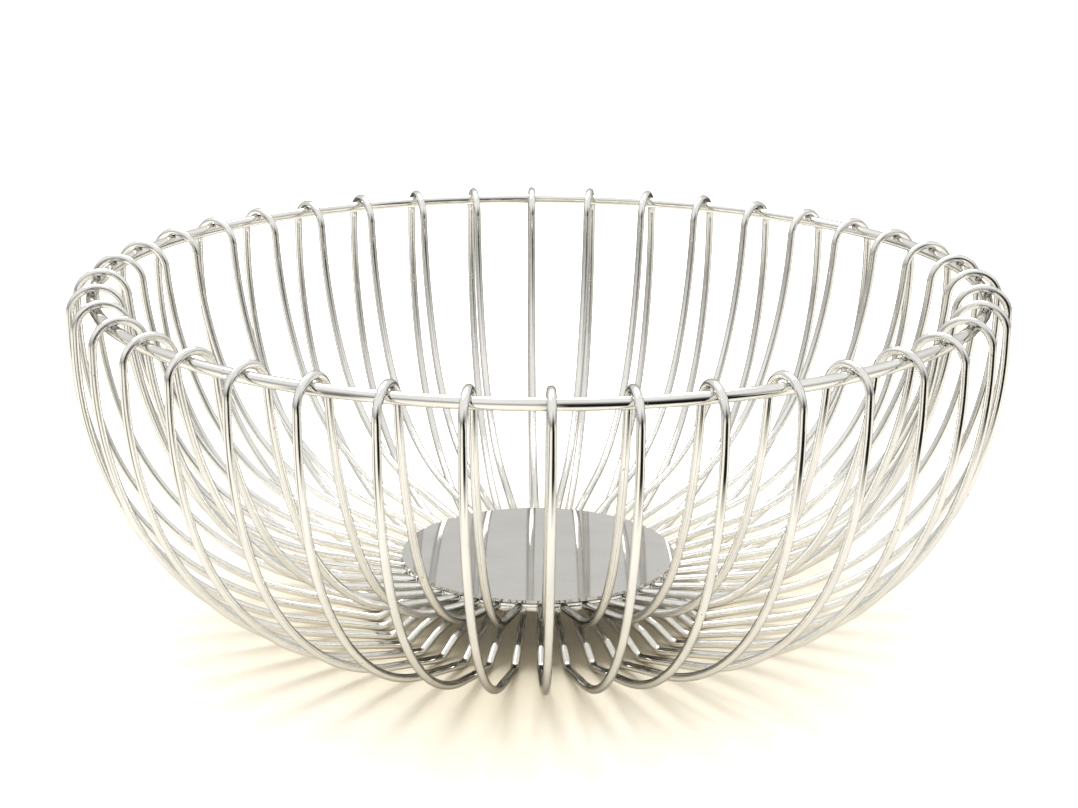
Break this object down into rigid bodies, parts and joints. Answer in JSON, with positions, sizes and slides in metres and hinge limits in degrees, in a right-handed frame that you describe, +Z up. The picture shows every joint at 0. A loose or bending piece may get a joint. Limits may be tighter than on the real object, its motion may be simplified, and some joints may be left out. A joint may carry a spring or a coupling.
{
  "type": "wire produce basket",
  "caption": "Round open basket for fruit and produce: chromed hairpin wire ribs hang over a thicker rim ring and carry a small polished centre plate.",
  "frame": {"origin": "on the basket's axis, at the level of the table that the wire feet stand on", "axes": "+Z up along the basket's axis; -Y towards the front, where rib_01 is"},
  "size_m": [0.3176, 0.3176, 0.1248],
  "materials": {
    "chrome_wire": "bright chrome plate, polished",
    "chrome_plate": "mirror-polished chrome plate"
  },
  "bodies": {
    "root": {"rim_ring": "chrome_wire", "base_ring": "chrome_wire", "base_plate": "chrome_plate", "rib_01": "chrome_wire", "rib_02": "chrome_wire", "rib_03": "chrome_wire", "rib_04": "chrome_wire", "rib_05": "chrome_wire", "rib_06": "chrome_wire", "rib_07": "chrome_wire", "rib_08": "chrome_wire", "rib_09": "chrome_wire", "rib_10": "chrome_wire", "rib_11": "chrome_wire", "rib_12": "chrome_wire", "rib_13": "chrome_wire", "rib_14": "chrome_wire", "rib_15": "chrome_wire", "rib_16": "chrome_wire", "rib_17": "chrome_wire", "rib_18": "chrome_wire", "rib_19": "chrome_wire", "rib_20": "chrome_wire", "rib_21": "chrome_wire", "rib_22": "chrome_wire", "rib_23": "chrome_wire", "rib_24": "chrome_wire", "rib_25": "chrome_wire", "rib_26": "chrome_wire", "rib_27": "chrome_wire", "rib_28": "chrome_wire", "rib_29": "chrome_wire", "rib_30": "chrome_wire", "rib_31": "chrome_wire", "rib_32": "chrome_wire", "rib_33": "chrome_wire", "rib_34": "chrome_wire", "rib_35": "chrome_wire", "rib_36": "chrome_wire", "rib_37": "chrome_wire", "rib_38": "chrome_wire", "rib_39": "chrome_wire", "rib_40": "chrome_wire"}
  },
  "joints": []
}
